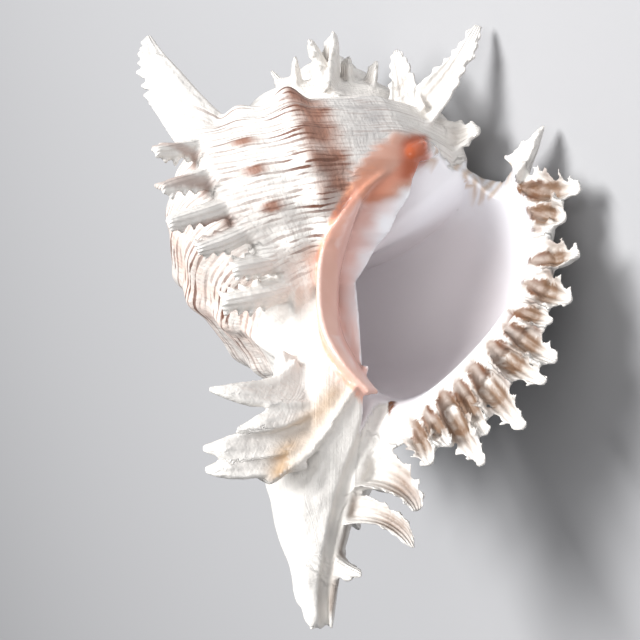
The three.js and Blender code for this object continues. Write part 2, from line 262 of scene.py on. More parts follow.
# Section of a leaf. The gutter is a power curve of the place across, set forward by a share of its depth.
GUTTER_POWER = 1.5
GUTTER_FORWARD = 0.6
LEAF_MIDDLE = 1.1  # thickness in the middle, and what is lost of it at the edges
LEAF_LOSS = 0.55
LEAF_FULL_HALF_WIDTH = 3  # narrower leaves are thinner
LEAF_NARROWER = 0.96  # front of a leaf over its back
TOOTH_SPACING = 4.2
TOOTH_SIZES = (0.5, 1.3)
TOOTH_START = 0.6  # share of a tooth where it stands past the plain edge
TOOTHED_FROM = (0.3, 0.55)  # shares of the length over which the teeth come up
RIPPLES = 1.7  # along a leaf
RIPPLE_SLANT = 0.35
EDGE_LEAD = 0.35  # how far the edges lead toward the tip, over the half width
EDGE_LEAD_LIMIT = 7  # the half width counts up to the length over this
EDGE_LEADS_FROM = (0.3, 0.6)
Style = namedtuple("Style", "gutter_depth thickness tooth_reach narrowing")
# The depth of the gutter and the reach of the saw teeth are over the half width.
LIP_STYLE = Style(1.2, 1.8, 0.8, 0.6)
WALL_STYLE = Style(0.95, 2.6, 0.9, 0.45)
BLADE_STYLE = Style(0.95, 2.4, 0.6, 0.75)
CANAL_STYLE = Style(1.1, 2, 0.4, 0.7)
ARM_STYLE = Style(0.6, 4.5, 0.12, 0.75)
SPIKE_STYLE = Style(0.7, 2.4, 0.5, 0.8)
BRANCH_STYLE = Style(0.8, 3.2, 0.8, 0.65)
LIP_TURN = -0.004
# Furrows that carry the gutters of the lip fronds inward.
FOLD_REACH = 6
FOLD_SHARE = 0.36  # of the frond's half width
FOLD_DEPTH = 1.2  # over its half width
FOLD_FORWARD = 1.4
FOLD_RINGS = 16
FOLD_SIDES = 12

# Dense wall, and the steps over which directions on it are taken
SMALL_ROW = 0.02
SMALL_TURN = 0.001
VOXEL = 0.65
BAND = 3.0
ROW_STEP = 0.1
TURN_STEP = 1 / 300
MOST_TRIANGLES = 195000

# Colours, as shares of red, green and blue light.
CHALK = (0.8, 0.77, 0.73)
PORCELAIN = (0.88, 0.88, 0.91)
# grey-mauve, used as painted shade deep in the hollow and on the parietal wall
SHADED_MAUVE = (0.73, 0.68, 0.69)
ORANGE = (0.62, 0.23, 0.14)
PEACH = (0.84, 0.41, 0.26)
CALLUS = (0.5, 0.22, 0.14)
RUST = (0.4, 0.09, 0.035)
BROWN = (0.16, 0.065, 0.04)
PATCH = (0.3, 0.155, 0.11)
TAN = (0.21, 0.13, 0.08)
DARK_TAN = (0.15, 0.055, 0.02)
OCHRE = (0.5, 0.3, 0.13)
# grey tone of the flat beside the main rib, made darker as painted shade
GREY_AND_SHADE = (0.34, 0.325, 0.32)

# Markings of the body: turns and widths in turns, and the rows where one starts, is full, fades and ends.
WALL_SAMPLES = 97
ROW_SLACK = 0.06  # rows that a place may lie from its nearest sample
PAST_LIP = 0.04  # turns that the wall may reach past the lip
PATH_SAMPLES = 40
MOTTLE_SIZE = 9
MOTTLE_SEED = 11
SHADED_TURN = -0.875  # the flat between the main rib and the inner lip, grey in tone and darker with painted shade
SHADED_WIDTH = 0.045
SHADED_ROWS = (1.2, 2.2, 6, 7.5)
LEE_TURN = MAIN_RIB - 0.018  # the brown side of the main rib
LEE_WIDTH = 0.021
LEE_ROWS = (1.6, 2.4, 5.6, 6.6)
SPOTTED_RIB = -0.731
SPOTTED_VARIX = -0.68
SPOT_WIDTH = 0.012
SPOT_ROWS = (3, 3.6, 6.3, 6.8)
FLUSHED_TURN = -0.55  # the left edge, with a pink flush and strong lines
FLUSHED_WIDTH = 0.1
FLUSHED_ROWS = (3, 5, 7.6, 8)
# ochre stain, partly painted shade, along the joint of the canal arm with the canal
STAIN_AND_SHADE_PATH = [(2, -18, -150), (-12, -19, -171), (-15, -19.5, -179)]
STAIN_AND_SHADE_WIDTH = 3.5
LINED_RIB_WIDTH = 0.03
LINED_RIB_PAST = 0.01  # turns by which the lines of a rib lie past its crest
LINED_RIB_HEIGHT = 4  # a rib of this height has full lines
LINED_DEPTHS = (5, 40, 136, 150)  # below the apex
LINED_END_ROWS = (7.6, 8)
LINES_PER_ROW = 7

# Markings of the opening, in millimetres unless they are in turns or rows.
CUT_REACH = (0.9, 1.9)  # voxels from a cut, over which its surface ends
# painted shade in the hollow: the turns going in over which it darkens, then the inner lip's painted shadow
HOLLOW_SHADE_TURNS = (0.03, 0.15)
HOLLOW_AHEAD = 30  # degrees that the hollow reaches past the lip
LIP_SHADOW_DEPTHS = (-19, -5)  # depthwise, over which painted shadow of the inner lip darkens the wall behind it
LIP_SHADOW_SLOPE = 0.3
LIP_SHADOW_END = (15, 35)  # places across
INNER_LIP_BAND = (3.6, 5.5)
INNER_LIP_LEFT = (2.2, 4)
CALLUS_PATH = [(16, -38, -86), (23, -38, -80), (29, -36, -75)]
CALLUS_REACH = (7, 10)
CALLUS_END = (28, 33)
CHANNEL_PATH = [(34, -33, -79), (42, -26, -78)]
CHANNEL_REACH = (4, 8)
TOOTH_REACH = (4.2, 6.5)
TOOTH_ACROSS = (20, 25, 30, 33)
PARIETAL_OLDEST = -0.8  # the wall seen through the opening is the whorl before this turn
PARIETAL_FRONT = -5
PARIETAL_DEPTHS = (73, 77, 148, 151)
# depths over which painted shade darkens the parietal wall
PARIETAL_SHADE_DEPTHS = (95, 115)
PARIETAL_WARM = (3, 12)
RIM_TURNS = (-0.09, -0.06)
RIM_END_ROWS = (1.6, 2.2)
PLEAT_TURNS = (-0.016, -0.006)
PLEAT_END_ROWS = (1.6, 2)
PLEAT_WAVE = 24  # radians for each row

# Markings of the fronds: shares of the length and of the half width.
FROND_MARGIN = 1.5  # half widths around a frond that are looked through
FROND_REACH = 1.15  # half widths forward that count as the frond
FROND_REACH_ACROSS = 1.3  # over that
HOLLOW_SIDE_FROM = (0.3, 0.8)  # thicknesses in front of a leaf's back
# strength of the tan on the hollow side of a frond's gutter, partly painted shade
GUTTER_TAN_AND_SHADE = {WALL_STYLE: 0.3, BLADE_STYLE: 0.15, ARM_STYLE: 0.15, SPIKE_STYLE: 0.3, BRANCH_STYLE: 0.3}
ARM_VEINS = 0.4  # veins of an arm over those of a leaf
LIP_LEFT_END = 18  # the lip's folds lie to the right of this and above the next
LIP_LOWEST = -168
FLANGE_PATH = [(8, -6, -178), (5.5, -2, -188), (2.5, 0, -201), (0, 2.5, -213)]
FLANGE_WIDTH = 1.6

# Material. Relief is in metres, and stretches are for each turn and row.
CHALK_ROUGHNESS = 0.5
GLOSS_ROUGHNESS = 0.16
STREAK_STRETCH = (30, 8)
LINE_WAVE = 0.11
LINE_LIMITS = (0.51, 0.63)
THREAD_RELIEF = 0.00004
VEINS = 18
VEIN_RELIEF = 0.00016
GRAIN_SCALE = 300
GRAIN_RELIEF = 0.0009
GROWTH_STRETCH = (300, 2)
GROWTH_RELIEF = 0.0003
BUMP_STRENGTH = 0.8


# Curves and noise

def spline(points, at):
    """Places on a smooth curve through the points; at counts points from 0."""
    points = np.asarray(points, float)
    padded = np.vstack([2 * points[0] - points[1], points, 2 * points[-1] - points[-2]])
    at = np.clip(np.asarray(at, float), 0, len(points) - 1)
    first = np.minimum(at.astype(int), len(points) - 2)
    part = (at - first)[..., None]
    a, b, c, d = (padded[first + k] for k in range(4))
    square = 2 * a - 5 * b + 4 * c - d
    cube = 3 * b - a - 3 * c + d
    return 0.5 * (2 * b + (c - a) * part + square * part**2 + cube * part**3)


def smooth(value, low, high):
    share = np.clip((np.asarray(value, float) - low) / (high - low), 0, 1)
    return share * share * (3 - 2 * share)


def between(value, start, full, fade, end):
    """A share that comes up from start to full and goes down from fade to end."""
    return smooth(value, start, full) * (1 - smooth(value, fade, end))


def bell(value, width):
    return np.exp(-((value / width) ** 2))


def waves(points, size, seed, count=14):
    """A smooth uneven field between about -1 and 1, with bumps of that size."""
    draw = np.random.default_rng(seed)
    total = np.zeros(points.shape[:-1])
    for _ in range(count):
        heading = draw.normal(size=3)
        heading *= draw.uniform(0.6, 1.6) * 2 * math.pi / (size * np.linalg.norm(heading))
        total += np.sin(points @ heading + draw.uniform(0, 2 * math.pi))
    return total / math.sqrt(count)


def unit(vectors):
    return vectors / np.linalg.norm(vectors, axis=-1, keepdims=True)


# Solids as triangle meshes

def tube(rings):
    """A closed mesh through closed rings of equal size, with both ends closed to their middles."""
    count, sides = rings.shape[:2]
    corners = np.vstack([rings.reshape(-1, 3), rings[0].mean(0), rings[-1].mean(0)])
    grid = np.arange(count * sides).reshape(count, sides)
    beside = np.roll(grid, -1, axis=1)
    faces = [
        np.stack([grid[:-1], beside[:-1], beside[1:]], -1).reshape(-1, 3),
        np.stack([grid[:-1], beside[1:], grid[1:]], -1).reshape(-1, 3),
        np.stack([np.full(sides, count * sides), beside[0], grid[0]], -1),
        np.stack([np.full(sides, count * sides + 1), grid[-1], beside[-1]], -1),
    ]
    return corners, np.vstack(faces)


def level_set(meshes, low, shape):
    """Distance to the joined meshes on a grid of voxels, negative inside."""
    starts = np.cumsum([0] + [len(corners) for corners, _ in meshes])
    corners = np.vstack([corners for corners, _ in meshes])
    faces = np.vstack([faces + start for (_, faces), start in zip(meshes, starts)])
    grid = openvdb.FloatGrid.createLevelSetFromPolygons(
        ((corners - low) / VOXEL).astype(np.float32), triangles=faces.astype(np.uint32), halfWidth=BAND,
    )
    field = np.empty(shape, np.float32)
    grid.copyToArray(field)
    return field


# The coiled wall

def placed(turn, radius, height):
    """Place at a turn of the coil, from its radius and height at the lip."""
    azimuth = np.radians(LIP_AZIMUTH - 360 * turn)
    size = WHORL_GROWTH**turn
    reach = radius * size * (1 + THREE_SIDED * np.cos(2 * math.pi * VARICES_PER_TURN * turn))
    return np.stack([reach * np.cos(azimuth), reach * np.sin(azimuth), height * size], -1)


def growth_turn(turn, row):
    """Turn at which a growth line crosses the row."""
    slant = SLANT * np.minimum(1, turn / SLANT_FULL_TURN) * (row - SHOULDER_ROW)
    notch = LIP_NOTCH * bell(row - LIP_NOTCH_ROW, LIP_NOTCH_ROWS) * smooth(turn, -LIP_NOTCH_REACH, 0)
    return turn - slant - notch


def relief(turn, row):
    """Height of the sculpture over the smooth coil, at the size of the last whorl."""
    cord = np.cos(2 * math.pi * row)
    height = CORD_HEIGHT * cord + FINE_CORD_HEIGHT * np.cos(2 * math.pi * FINE_CORDS_PER_ROW * row)
    for varix in VARIX_TURNS:
        past = turn - varix
        height = height + VARIX_HEIGHT * bell(past, np.where(past < 0, VARIX_BEFORE, VARIX_AFTER))
    for varix, fronds in ((LEFT_VARIX, LEFT_FRONDS), (BACK_VARIX, BACK_FRONDS)):
        past = turn - varix
        reach = bell(past, np.where(past < 0, ROOT_BEFORE, VARIX_AFTER))
        for frond in fronds[1:]:
            root = ROOT_HEIGHT * reach * bell(row - frond[0], ROOT_ROWS)
            height = height + root * (1 - smooth(row, *ROOT_END_ROWS))
    knob = RIB_LEAST + RIB_CORD_KNOBS * cord + RIB_SHOULDER_KNOB * bell(row - SHOULDER_ROW, RIB_SHOULDER_ROWS)
    for rib, rise in RIBS:
        height = height + rise * knob * bell(turn - rib, np.where(turn < rib, RIB_BEFORE, RIB_AFTER))
    return height * smooth(row, *SCULPTED_ROWS)


def wall_place(turn, row):
    place = spline(PROFILE, row)
    course = unit(spline(PROFILE, row + SMALL_ROW) - spline(PROFILE, row - SMALL_ROW))
    rise = relief(turn, row)
    radius = place[..., 0] - course[..., 1] * rise
    height = place[..., 1] + course[..., 0] * rise
    return placed(growth_turn(turn, row), radius, height)


def whorls():
    """The coiled wall in thirds of a turn."""
    meshes = []
    rows = np.arange(0, LAST_ROW + ROW_STEP / 2, ROW_STEP)
    count = round(1 / (3 * TURN_STEP))
    for third in range(3 * OLDEST_TURN, 0):
        turns = np.linspace(third / 3, (third + 1) / 3, count + 1)[:, None]
        outside = wall_place(turns, rows[None, :])
        uneven = UNEVEN_HEIGHT * waves(outside, UNEVEN_SIZE, UNEVEN_SEED)[..., None]
        uneven = uneven * WHORL_GROWTH ** turns[..., None]
        outside += uneven * unit(outside - np.array([0, 0, 1]) * outside[..., 2:])
        inside = np.stack([placed(turns[:, 0], radius, height) for radius, height in PROFILE_CLOSING], 1)
        meshes.append(tube(np.concatenate([outside, inside], 1)))
    return meshes


# Canal, slit, hollow and inner lip

def around_ring(sides):
    return np.linspace(0, 2 * math.pi, sides, endpoint=False)


def canal():
    at = np.linspace(0, len(CANAL) - 1, CANAL_RINGS)
    height, across, back, half = spline(CANAL, at).T[..., None]
    angle = around_ring(CANAL_SIDES)[None, :]
    stretched = np.broadcast_to(height * CANAL_RIDGE_STRETCH, (CANAL_RINGS, CANAL_SIDES))
    around = np.stack([half * np.cos(angle), half * np.sin(angle), stretched], -1)
    ridges = CANAL_RIDGE_HEIGHT * waves(around, CANAL_RIDGE_SIZE, CANAL_RIDGE_SEED)
    torn = CANAL_TORN * waves(around, CANAL_TORN_SIZE, CANAL_TORN_SEED) * smooth(-height, *CANAL_TORN_FROM)
    half = half + ridges * smooth(-height, *CANAL_RIDGED) * np.minimum(1, half / CANAL_SLENDER)
    ring = [across + half * np.cos(angle), back + half * CANAL_DEPTH * np.sin(angle), height + torn]
    return [tube(np.stack(ring, -1))]


def slit():
    at = np.linspace(0, len(SLIT) - 1, SLIT_RINGS)
    middle = spline(SLIT, at)[:, None, :]
    half = np.interp(at, range(len(SLIT)), SLIT_WIDTH)[:, None] / 2
    deep = np.interp(at, range(len(SLIT)), SLIT_DEPTH)[:, None] / 2
    angle = around_ring(SLIT_SIDES)[None, :]
    across = half * np.sign(np.cos(angle)) * np.abs(np.cos(angle)) ** SLIT_ROUNDNESS
    back = deep * np.sin(angle)
    return [tube(middle + np.stack([across, back, 0 * across], -1))]


def hollow():
    ring = spline(HOLLOW + HOLLOW[:1], np.linspace(0, len(HOLLOW), HOLLOW_SIDES, endpoint=False))
    at = np.linspace(0, len(HOLLOW_TURNS) - 1, HOLLOW_RINGS)
    turn = spline(np.array(HOLLOW_TURNS)[:, None], at)
    size = spline(np.array(HOLLOW_SIZES)[:, None], at)
    radius = HOLLOW_MIDDLE[0] + (ring[None, :, 0] - HOLLOW_MIDDLE[0]) * size
    height = HOLLOW_MIDDLE[1] + (ring[None, :, 1] - HOLLOW_MIDDLE[1]) * size
    return [tube(placed(turn, radius, height))]


def inner_lip():
    share = np.linspace(0, 1, INNER_LIP_RINGS)
    path = spline(INNER_LIP, share * (len(INNER_LIP) - 1))
    course = unit(np.gradient(path, axis=0))
    out = unit(TOWARD_VIEWER - course * (course @ TOWARD_VIEWER)[:, None])
    side = np.cross(course, out)
    grown = smooth(share, *INNER_LIP_GROWS) * (1 - INNER_LIP_LOSS * smooth(share, *INNER_LIP_SHRINKS))
    swell = INNER_LIP_LEAST + (1 - INNER_LIP_LEAST) * grown
    section = np.array(INNER_LIP_SECTION)
    across = INNER_LIP_HALF_WIDTH * swell[:, None] * section[:, 0]
    rise = INNER_LIP_RISE * swell[:, None] * section[:, 1]
    rings = path[:, None] + across[..., None] * side[:, None] + rise[..., None] * out[:, None]
    return [tube(rings), tooth()]


def tooth():
    at = np.linspace(0, len(TOOTH) - 1, TOOTH_RINGS)
    path = spline(TOOTH, at)
    half = np.interp(at, range(len(TOOTH)), TOOTH_HALF_WIDTH)[:, None, None]
    course = unit(np.gradient(path, axis=0))
    side = unit(np.cross(course, TOWARD_VIEWER))
    out = np.cross(side, course)
    angle = around_ring(TOOTH_SIDES)[:, None]
    return tube(path[:, None] + half * (np.cos(angle) * side[:, None] + np.sin(angle) * out[:, None]))


# Fronds

def bow(sideways):
    """How far forward the back of a leaf lies at a place across, over the gutter's depth."""
    return np.abs(sideways) ** GUTTER_POWER - GUTTER_FORWARD


class Frond:
    """A curved, saw-edged gutter: out, along and front are the directions of the wall it grows on."""

    def __init__(self, foot, out, along, front, shape, style, seed):
        length, width, taper, lean, sweep, curl = shape
        draw = np.random.default_rng(seed)
        self.style = style
        self.notched = style == LIP_STYLE
        self.length = length + FROND_SUNK
        self.share = np.linspace(0, 1, FROND_STEPS)
        tilt = np.radians(lean + curl * (self.share - 0.5))[:, None]
        swept = np.radians(sweep)
        self.course = math.cos(swept) * (np.cos(tilt) * out - np.sin(tilt) * along) + math.sin(swept) * front
        steps = self.course * self.length / (FROND_STEPS - 1)
        self.line = foot - FROND_SUNK * out + np.cumsum(steps, axis=0) - steps[0]
        across = unit(along - self.course * (self.course @ along)[:, None])
        facing = np.cross(across, self.course)
        facing = facing * np.where(facing @ front < 0, -1, 1)[:, None]
        twist = draw.normal(0, FROND_TWIST) * self.share[:, None]
        self.across = np.cos(twist) * across + np.sin(twist) * facing
        self.facing = np.cos(twist) * facing - np.sin(twist) * across
        flared = style not in (WALL_STYLE, BLADE_STYLE, LIP_STYLE)
        flare = 1 + flared * FOOT_FLARE * (1 - self.share) ** 4
        narrowed = 1 - style.narrowing * self.share**3
        self.half = (width / 2) * flare * (1 + (taper - 1) * self.share) * narrowed
        self.rings = self.gutter(draw)

    def gutter(self, draw):
        """Rings of the leaf: bent back in the middle, thin at the saw edges, which lead toward the tip."""
        side = np.linspace(-1, 1, FROND_SIDES)
        style, share = self.style, self.share[:, None]
        teeth = max(2, round(self.length / TOOTH_SPACING))
        phase = np.where(side < 0, draw.uniform(0, 1), draw.uniform(0, 1))
        tooth_at = share * teeth + phase
        size = draw.uniform(*TOOTH_SIZES, teeth + 2)[tooth_at.astype(int)]
        tooth_reach = (tooth_at % 1 - TOOTH_START) * style.tooth_reach * size
        spread = 1 + tooth_reach * smooth(share, *TOOTHED_FROM) * side**2
        half = self.half[:, None]
        ripple = np.sin(2 * math.pi * (RIPPLES * share + draw.uniform(0, 1) + RIPPLE_SLANT * side))
        crumple = FROND_CRUMPLE * min(1, CRUMPLED_THICKNESS / style.thickness)
        back = style.gutter_depth * half * bow(side) + crumple * half * ripple * share * np.abs(side)
        thick = style.thickness * (LEAF_MIDDLE - LEAF_LOSS * np.abs(side))
        thick = thick * np.minimum(1, half / LEAF_FULL_HALF_WIDTH)
        lead = EDGE_LEAD * np.minimum(half, self.length / EDGE_LEAD_LIMIT)
        lead = lead * smooth(share, *EDGE_LEADS_FROM) * side**2
        behind = self.grid(side * spread, back, lead)
        before = self.grid(LEAF_NARROWER * side * spread, back + thick, lead)
        return np.concatenate([behind, before[:, ::-1]], 1)

    def grid(self, sideways, forward, lead):
        return (
            self.line[:, None]
            + (sideways * self.half[:, None])[..., None] * self.across[:, None]
            + forward[..., None] * self.facing[:, None]
            + lead[..., None] * self.course[:, None]
        )

    def fold(self):
        """Rings of the furrow that carries the gutter inward across the lip."""
        reach = np.linspace(-FOLD_REACH, 0.5 * self.length, FOLD_RINGS)
        at = np.clip(reach / self.length, 0, 1) * (FROND_STEPS - 1)
        middle = spline(self.line, at) + np.minimum(reach, 0)[:, None] * self.course[0]
        across = spline(self.across, at)[:, None]
        facing = spline(self.facing, at)[:, None]
        half = (FOLD_SHARE * self.half[0] * smooth(reach, -FOLD_REACH - 1, FOLD_REACH))[:, None, None]
        angle = around_ring(FOLD_SIDES)[:, None]
        ring = half * (np.cos(angle) * across + FOLD_DEPTH * np.sin(angle) * facing)
        return middle[:, None] + ring + FOLD_FORWARD * facing

    def near(self, places):
        """Which places are close by, and their share of the length, place across, side and distance."""
        low = self.line.min(0) - FROND_MARGIN * self.half[0] - FOLD_REACH
        high = self.line.max(0) + FROND_MARGIN * self.half[0] + FOLD_REACH
        found = np.nonzero(np.all((places > low) & (places < high), axis=1))[0]
        apart = places[found, None] - self.line[None]
        nearest = np.argmin((apart**2).sum(-1), axis=1)
        offset = apart[np.arange(len(found)), nearest]
        half = self.half[nearest]
        sideways = (offset * self.across[nearest]).sum(-1) / half
        forward = (offset * self.facing[nearest]).sum(-1) / half
        lengthwise = (offset * self.course[nearest]).sum(-1) / self.length
        off = np.maximum(np.abs(sideways) / FROND_REACH_ACROSS, np.abs(forward))
        before = (forward - self.style.gutter_depth * bow(sideways)) * half / self.style.thickness
        hollow_side = smooth(before, *HOLLOW_SIDE_FROM)
        return found, self.share[nearest] + lengthwise, sideways, hollow_side, off


def wall_frond(turn, row, shape, style, seed):
    foot = wall_place(turn, row)
    below = wall_place(turn, min(LAST_ROW, row + FOOT_ROWS))
    along = unit(below - wall_place(turn, row - FOOT_ROWS))
    front = unit(placed(turn + SMALL_TURN, *FRONT_PLACE) - placed(turn - SMALL_TURN, *FRONT_PLACE))
    front = unit(front - along * (front @ along))
    out = np.cross(along, front)
    if out[:2] @ foot[:2] < 0:
        out = -out
    return Frond(foot, out, along, front, shape, style, seed)


def canal_arm(foot, tip, width, taper, bend, style, seed):
    foot = np.array(foot, float)
    reach = np.array(tip) - foot
    out = unit(reach)
    front = np.array([0, math.copysign(1, foot[1]), 0])
    front = unit(front - out * (front @ out))
    shape = (np.linalg.norm(reach), width, taper, 0, 0, bend)
    return Frond(foot, out, np.cross(out, front), front, shape, style, seed)


def all_fronds():
    rows = [(LIP_TURN, LIP_STYLE if shape[0] > SHOULDER_ROW else SPIKE_STYLE, *shape) for shape in LIP_FRONDS]
    for varix, shapes in ((LEFT_VARIX, LEFT_FRONDS), (BACK_VARIX, BACK_FRONDS)):
        rows += [(varix, WALL_STYLE if shape[0] > SHOULDER_ROW else BLADE_STYLE, *shape) for shape in shapes]
    rows += [(turn, BRANCH_STYLE, *shape) for turn, *shape in SPIRE_FRONDS]
    fronds = [
        wall_frond(turn, row, shape, style, seed) for seed, (turn, style, row, *shape) in enumerate(rows)
    ]
    for seed, arm in enumerate(CANAL_ARMS):
        style = ARM_STYLE if seed < PRESENT_CANAL_ARMS else CANAL_STYLE
        fronds.append(canal_arm(*arm, style, ARM_SEEDS + seed))
    return fronds


# One dense mesh

def shell_surface(fronds):
    """Corners and faces of the joined and hollowed shell, upright, and the distances to its hollows."""
    added = whorls() + canal() + [tube(frond.rings) for frond in fronds]
    low = np.min([corners.min(0) for corners, _ in added], axis=0) - 3 * VOXEL
    high = np.max([corners.max(0) for corners, _ in added], axis=0) + 3 * VOXEL
    shape = tuple(np.ceil((high - low) / VOXEL).astype(int))
    opening = level_set(hollow(), low, shape)
    furrows = level_set(slit() + [tube(frond.fold()) for frond in fronds if frond.notched], low, shape)
    field = np.maximum(level_set(added, low, shape), -opening)
    field = np.minimum(field, level_set(inner_lip(), low, shape))
    field = np.maximum(field, -furrows)
    for axis in range(3):
        field = 0.5 * field + 0.25 * (np.roll(field, 1, axis) + np.roll(field, -1, axis))
    grid = openvdb.FloatGrid(BAND)
    grid.copyFromArray(np.ascontiguousarray(field))
    corners, _, quads = grid.convertToPolygons()
    return corners * VOXEL + low, quads, low, opening, furrows


def rest_turn():
    """Rotation from the upright frame into the row frame."""
    azimuth, elevation = np.radians([REST_AZIMUTH, REST_ELEVATION])
    level = math.cos(elevation)
    up = np.array([math.cos(azimuth) * level, math.sin(azimuth) * level, math.sin(elevation)])
    ahead = unit(np.array([0, 0, 1]) - up * up[2])
    return np.stack([np.cross(ahead, up), ahead, up])


def to_row(places):
    return np.asarray(places) @ rest_turn().T / 1000 + np.array(APEX_PLACE)


def on_floor(places):
    """The same places, with those below the floor pressed up to it."""
    return np.maximum(places, [-np.inf, -np.inf, 0])


def from_row(places):
    return (np.asarray(places) - np.array(APEX_PLACE)) * 1000 @ rest_turn()


def drop_crumbs(mesh):
    """Removes the small pieces that hang loose beside the shell."""
    work = bmesh.new()
    work.from_mesh(mesh)
    left = set(work.verts)
    pieces = []
    while left:
        piece = [left.pop()]
        for corner in piece:
            beside = [edge.other_vert(corner) for edge in corner.link_edges]
            fresh = [other for other in beside if other in left]
            left.difference_update(fresh)
            piece.extend(fresh)
        pieces.append(piece)
    pieces.sort(key=len)
    crumbs = [corner for piece in pieces[:-1] for corner in piece]
    bmesh.ops.delete(work, geom=crumbs, context="VERTS")
    work.to_mesh(mesh)
    work.free()


def add_object(name, data):
    added = bpy.data.objects.new(name, data)
    bpy.context.collection.objects.link(added)
    return added


def make_shell(fronds):
    corners, quads, low, opening, furrows = shell_surface(fronds)
    mesh = bpy.data.meshes.new("murex_shell_wall")
    mesh.vertices.add(len(corners))
    mesh.vertices.foreach_set("co", on_floor(to_row(corners)).astype(np.float32).ravel())
    mesh.loops.add(quads.size)
    mesh.loops.foreach_set("vertex_index", quads[:, ::-1].astype(np.int32).ravel())
    mesh.polygons.add(len(quads))
    mesh.polygons.foreach_set("loop_start", np.arange(0, quads.size, 4, dtype=np.int32))
    mesh.update(calc_edges=True)
    mesh.validate()
    shell = add_object("murex_shell_wall", mesh)
    thin = shell.modifiers.new("thin", "DECIMATE")
    thin.ratio = min(1, MOST_TRIANGLES / (2 * len(quads)))
    thinned = bpy.data.meshes.new_from_object(shell.evaluated_get(bpy.context.evaluated_depsgraph_get()))
    shell.modifiers.clear()
    shell.data = thinned
    drop_crumbs(thinned)
    thinned.shade_smooth()
    places = np.empty((len(thinned.vertices), 3), np.float32)
    thinned.vertices.foreach_get("co", places.ravel())
    places = from_row(places)
    spot = np.clip(((places - low) / VOXEL).round().astype(int), 0, np.array(opening.shape) - 1)
    spot = tuple(spot.T)
    paint(thinned, places, opening[spot], furrows[spot], fronds)
    return shell


# Markings

def wall_position(places):
    """Turn and row of the nearest place on the coiled wall."""
    rows = np.linspace(0, LAST_ROW, WALL_SAMPLES)
    profile = spline(PROFILE, rows)
    slope = np.gradient(profile, rows, axis=0)
    radius = np.hypot(places[:, 0], places[:, 1])
    past_lip = ((LIP_AZIMUTH - np.degrees(np.arctan2(places[:, 1], places[:, 0]))) / 360) % 1
    best = np.full(len(places), np.inf)
    turn, row = np.zeros(len(places)), np.zeros(len(places))
    for whorl in range(1 - OLDEST_TURN):
        here = past_lip - whorl
        size = WHORL_GROWTH**here
        across = radius / (size * (1 + THREE_SIDED * np.cos(2 * math.pi * VARICES_PER_TURN * here)))
        upright = places[:, 2] / size
        apart = (across[:, None] - profile[:, 0]) ** 2 + (upright[:, None] - profile[:, 1]) ** 2
        nearest = np.argmin(apart, axis=1)
        off = np.sqrt(apart[np.arange(len(places)), nearest]) * size
        better = (off < best) & (here <= PAST_LIP)
        best[better] = off[better]
        turn[better] = here[better]
        course = slope[nearest]
        rest = (across - profile[nearest, 0]) * course[:, 0] + (upright - profile[nearest, 1]) * course[:, 1]
        rest = np.clip(rest / (course**2).sum(-1), -ROW_SLACK, ROW_SLACK)
        row[better] = (rows[nearest] + rest)[better]
    turn += SLANT * np.minimum(1, turn / SLANT_FULL_TURN) * (row - SHOULDER_ROW)
    return turn, row


def distance(places, path):
    """Distance to the curve through a path's points, and the share of it at the nearest place."""
    samples = spline(path, np.linspace(0, len(path) - 1, PATH_SAMPLES))
    apart = ((places[:, None] - samples[None]) ** 2).sum(-1)
    nearest = np.argmin(apart, axis=1)
    return np.sqrt(apart[np.arange(len(places)), nearest]), nearest / (PATH_SAMPLES - 1)


def blend(tint, colour, share):
    return tint + (np.array(colour) - tint) * np.clip(share, 0, 1)[:, None]


def frond_marks(places, fronds):
    """What each place has of the frond that it lies on."""
    names = ("on", "vein", "groove", "edge", "past_foot", "crest")
    marks = {name: np.zeros(len(places)) for name in names}
    best = np.full(len(places), np.inf)
    for frond in fronds:
        found, share, sideways, hollow_side, off = frond.near(places)
        better = (off < best[found]) & (off < FROND_REACH)
        spot = found[better]
        best[spot] = off[better]
        share, sideways, hollow_side = share[better], sideways[better], hollow_side[better]
        out = np.abs(sideways)
        fades = (1 - 0.85 * smooth(share, 0.45, 0.95)) * smooth(share, 0.1, 0.3)
        # groove: tan on the hollow side of the gutter, darkest in its middle, partly painted shade
        if frond.notched:
            marks["groove"][spot] = fades * (1 - 0.75 * smooth(out, 0.3, 0.9)) * hollow_side
            marks["edge"][spot] = fades * bell(out - 0.85, 0.22) * (1 - smooth(share, 0.4, 0.8))
        elif frond.style == CANAL_STYLE:
            marks["groove"][spot] = smooth(share, 0.2, 0.7) * (1 - smooth(out, 0.5, 1)) * hollow_side
            marks["edge"][spot] = 1.2 * smooth(share, 0.4, 0.9) * hollow_side * bell(sideways + 0.2, 0.5)
        else:
            strength = GUTTER_TAN_AND_SHADE[frond.style]
            marks["groove"][spot] = strength * fades * (1 - smooth(out, 0.35, 0.9)) * hollow_side
        marks["on"][spot] = smooth(share, 0.02, 0.3)
        marks["vein"][spot] = sideways * (ARM_VEINS if frond.style == ARM_STYLE else 1)
        marks["crest"][spot] = smooth(share, 0.5, 1)
        marks["past_foot"][spot] = smooth(share, 0.05, 0.4)
    return marks


def rib_lee(turn, row):
    return smooth(1.3 * bell(turn - LEE_TURN, LEE_WIDTH), 0.1, 0.8) * between(row, *LEE_ROWS)


